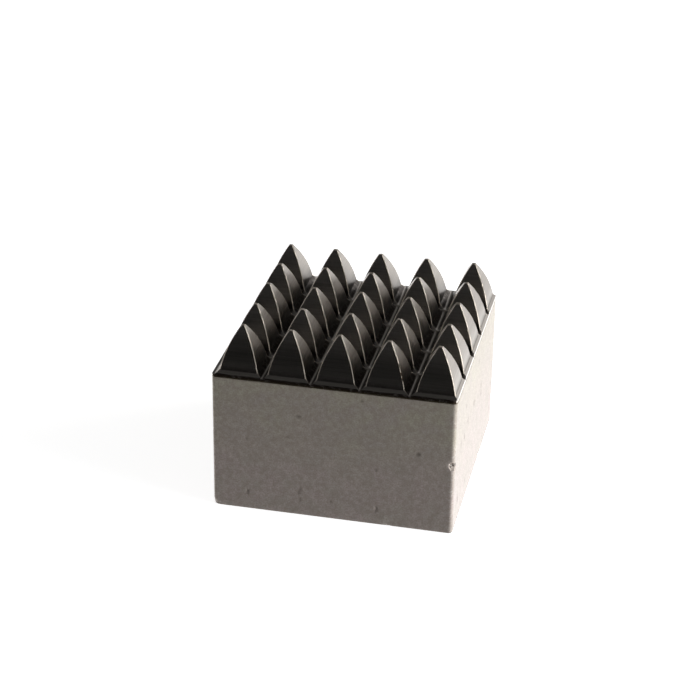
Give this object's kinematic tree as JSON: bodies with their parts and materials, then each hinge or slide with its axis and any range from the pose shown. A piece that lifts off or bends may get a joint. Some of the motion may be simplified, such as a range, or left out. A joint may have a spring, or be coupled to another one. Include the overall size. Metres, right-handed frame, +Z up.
{
  "type": "bush hammer insert",
  "caption": "Square steel block with a carbide face of sharp ogive points in a grid, for roughening stone or pricking hide.",
  "frame": {"origin": "middle of the block's flat underside", "axes": "+Z up from the underside to the points; X and Y square to the side faces, with -Y the face seen most squarely in the reference view"},
  "size_m": [0.025, 0.025, 0.02],
  "materials": {
    "steel_body": "matte",
    "carbide": "gloss",
    "braze": "satin",
    "silver_solder": "satin",
    "copper": "satin"
  },
  "bodies": {
    "root": {"body_block": "steel_body", "tooth_crown": "carbide", "braze_seam": "braze", "solder_upper": "silver_solder", "copper_shim": "copper", "solder_lower": "silver_solder"}
  },
  "joints": []
}
